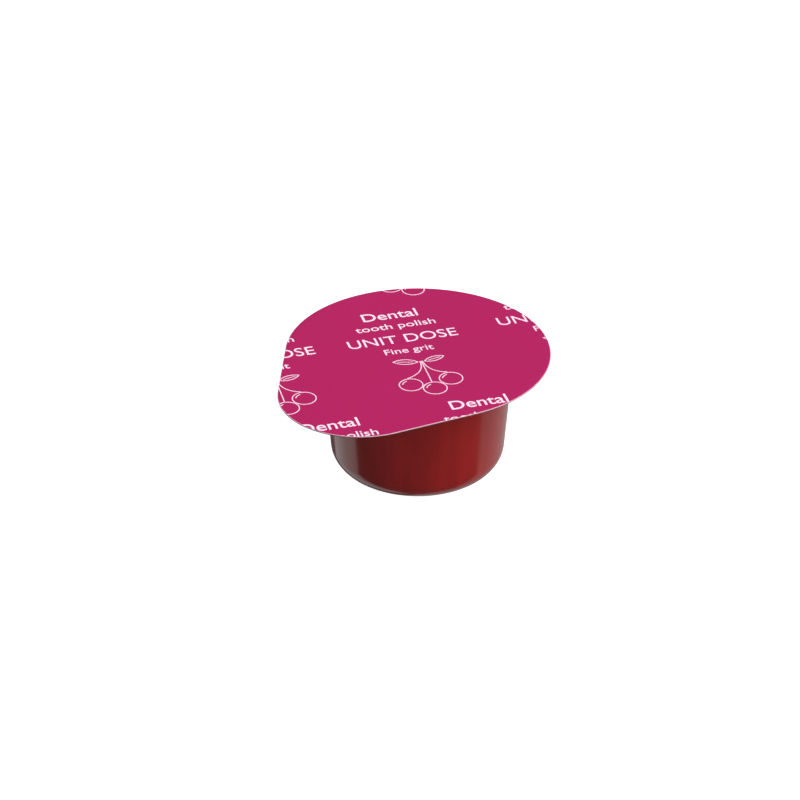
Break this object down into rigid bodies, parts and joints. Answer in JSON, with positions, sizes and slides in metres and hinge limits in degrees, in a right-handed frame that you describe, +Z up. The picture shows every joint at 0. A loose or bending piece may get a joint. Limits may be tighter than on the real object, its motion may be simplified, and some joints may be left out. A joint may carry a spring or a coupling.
{
  "type": "unit-dose prophy paste cup",
  "caption": "Small tapered single-dose cup of dental polishing paste with a flat rim and a peel-off foil lid whose pull tab bends up.",
  "frame": {"origin": "centre of the foot ring on the cup's base, where the cup's axis meets the surface it stands on", "axes": "+Z up the cup's axis; the lid's pull tab points along -Y; X across, and the part is the same on both sides of the YZ plane"},
  "size_m": [0.0264, 0.0312, 0.0126],
  "materials": {
    "cup_plastic": "gloss",
    "paste": "satin",
    "seal_lacquer": "satin",
    "lid_foil": "satin",
    "lid_print": "satin"
  },
  "bodies": {
    "cup": {"cup": "cup_plastic", "paste": "paste", "seal_band": "seal_lacquer"},
    "lid_anchor": {"foil_anchor": "lid_foil", "film_anchor": "lid_print"},
    "lid_rear": {"foil_rear": "lid_foil", "film_rear": "lid_print"},
    "lid_middle": {"foil_middle": "lid_foil", "film_middle": "lid_print"},
    "lid_front": {"foil_front": "lid_foil", "film_front": "lid_print"},
    "lid_neck": {"foil_neck": "lid_foil", "film_neck": "lid_print"},
    "lid_tab": {"foil_tab": "lid_foil", "film_tab": "lid_print"}
  },
  "joints": [
    {"name": "lid_release", "type": "slide", "parent": "cup", "child": "lid_anchor", "axis": [0, 0, 1], "range_m": [0, 0.015]},
    {"name": "peel_fold_1", "type": "hinge", "parent": "lid_anchor", "child": "lid_rear", "pos_m": [0, 0.0095, 0.01257], "axis": [-1, 0, 0], "range_deg": [0, 90]},
    {"name": "peel_fold_2", "type": "hinge", "parent": "lid_rear", "child": "lid_middle", "pos_m": [0, 0.00395, 0.01257], "axis": [-1, 0, 0], "range_deg": [0, 35]},
    {"name": "peel_fold_3", "type": "hinge", "parent": "lid_middle", "child": "lid_front", "pos_m": [0, -0.0016, 0.01257], "axis": [-1, 0, 0], "range_deg": [0, 35]},
    {"name": "peel_fold_4", "type": "hinge", "parent": "lid_front", "child": "lid_neck", "pos_m": [0, -0.00715, 0.01257], "axis": [-1, 0, 0], "range_deg": [0, 35]},
    {"name": "tab_fold", "type": "hinge", "parent": "lid_neck", "child": "lid_tab", "pos_m": [0, -0.0127, 0.01257], "axis": [-1, 0, 0], "range_deg": [0, 60]}
  ]
}
